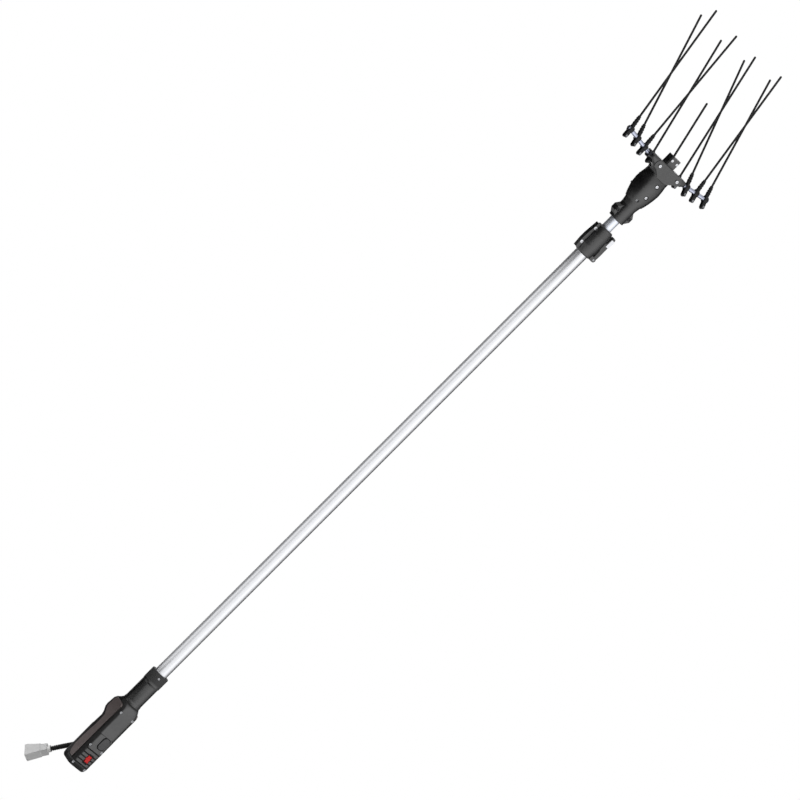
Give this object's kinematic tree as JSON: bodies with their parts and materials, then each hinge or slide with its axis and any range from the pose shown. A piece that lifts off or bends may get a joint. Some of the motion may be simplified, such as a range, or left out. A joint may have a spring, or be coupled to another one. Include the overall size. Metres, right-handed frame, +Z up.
{
  "type": "electric olive harvester",
  "caption": "Telescopic pole with a switch handle and corded plug at its foot, and a motor head at its top that rocks a comb of long tines to shake olives off a branch.",
  "frame": {"origin": "on the pole axis, halfway up the round neck of the handle, where a hand grips it", "axes": "+Z up the pole to the comb, -Y towards the front with the switches, +X to the side of the collar's lever"},
  "size_m": [0.2928, 0.1957, 2.2717],
  "materials": {
    "black_plastic": "fine matte moulding",
    "brown_grey_plastic": "satin moulding",
    "red_plastic": "gloss",
    "button_plastic": "matte",
    "board": "coated board",
    "soft_black": "flexible, satin",
    "bush_plastic": "plain bearing",
    "black_bolt": "blackened steel",
    "white_plastic": "satin",
    "grey_plastic": "matte",
    "contact_brass": "plain",
    "tube_aluminium": "anodised, satin",
    "shaft_steel": "turned",
    "screw_steel": "plated",
    "motor_steel": "plain can",
    "tine_black": "satin rod"
  },
  "bodies": {
    "handle": {"handle_front": "black_plastic", "handle_rear": "black_plastic", "left_side_cover": "brown_grey_plastic", "right_side_cover": "brown_grey_plastic", "handle_screws": "screw_steel", "neck_sleeve": "black_plastic", "control_board": "board", "cable_gland": "soft_black", "cord": "soft_black", "cord_ferrule": "white_plastic", "plug_body": "grey_plastic", "plug_contacts": "contact_brass", "outer_tube": "tube_aluminium", "coil_cable": "soft_black", "collar_body": "black_plastic", "collar_screws": "screw_steel", "lever_pin": "screw_steel"},
    "power_switch": {"rocker_switch": "red_plastic"},
    "start_button": {"push_button": "button_plastic"},
    "lock": {"lock_lever": "black_plastic", "lever_plate": "screw_steel"},
    "pad": {"brake_pad": "soft_black"},
    "head": {"inner_tube": "tube_aluminium", "slide_bush": "white_plastic", "motor_lead": "soft_black", "neck_front": "black_plastic", "neck_rear": "black_plastic", "neck_bolts": "black_bolt", "case_front": "black_plastic", "case_rear": "black_plastic", "cross_cover": "black_plastic", "case_screws": "screw_steel", "motor": "motor_steel", "gearbox": "motor_steel", "yoke_guides": "shaft_steel", "shaft_bushes": "bush_plastic", "nose_block": "black_plastic", "tine_5": "tine_black"},
    "crank": {"crank": "shaft_steel"},
    "yoke": {"yoke": "shaft_steel"},
    "left_comb": {"left_shaft": "shaft_steel", "left_holder_screws": "screw_steel", "tine_holder_1": "black_plastic", "tine_holder_2": "black_plastic", "tine_holder_3": "black_plastic", "tine_holder_4": "black_plastic", "tine_1": "tine_black", "tine_2": "tine_black", "tine_3": "tine_black", "tine_4": "tine_black"},
    "right_comb": {"right_shaft": "shaft_steel", "right_holder_screws": "screw_steel", "tine_holder_6": "black_plastic", "tine_holder_7": "black_plastic", "tine_holder_8": "black_plastic", "tine_holder_9": "black_plastic", "tine_6": "tine_black", "tine_7": "tine_black", "tine_8": "tine_black", "tine_9": "tine_black"}
  },
  "joints": [
    {"name": "telescope", "type": "slide", "parent": "handle", "child": "head", "axis": [0, 0, 1], "range_m": [0, 0.9], "deforming": ["coil_cable"]},
    {"name": "lock_flip", "type": "hinge", "parent": "handle", "child": "lock", "pos_m": [0.029, 0, 1.376], "axis": [0, 1, 0], "range_deg": [0, 120]},
    {"name": "pad_release", "type": "slide", "parent": "handle", "child": "pad", "axis": [1, 0, 0], "range_m": [0, 0.00025]},
    {"name": "switch_rock", "type": "hinge", "parent": "handle", "child": "power_switch", "pos_m": [0.004, -0.02816, -0.202], "axis": [1, 0, 0], "range_deg": [0, 16]},
    {"name": "button_press", "type": "slide", "parent": "handle", "child": "start_button", "axis": [0, 1, 0], "range_m": [0, 0.0015], "stiffness_N_per_m": 400, "springref_m": -0.003},
    {"name": "crank_turn", "type": "hinge", "parent": "head", "child": "crank", "pos_m": [0, 0.006, 1.6], "axis": [0, 0, 1], "continuous": true},
    {"name": "left_comb_rock", "type": "hinge", "parent": "head", "child": "left_comb", "pos_m": [0, 0.006, 1.623], "axis": [0.9914, 0, -0.1305], "range_deg": [-20, 20]},
    {"name": "right_comb_rock", "type": "hinge", "parent": "head", "child": "right_comb", "pos_m": [0, 0.006, 1.623], "axis": [0.9914, 0, 0.1305], "range_deg": [-20.5, 20.5]},
    {"name": "yoke_shuttle", "type": "slide", "parent": "head", "child": "yoke", "axis": [0, 1, 0], "range_m": [-0.0067, 0.0067]}
  ],
  "couplings": [
    {"joint": "pad_release", "follows": "lock_flip", "m_per_rad": 0.00011817},
    {"joint": "right_comb_rock", "follows": "left_comb_rock", "ratio": 1},
    {"joint": "yoke_shuttle", "follows": "left_comb_rock", "m_per_rad": 0.01877}
  ]
}
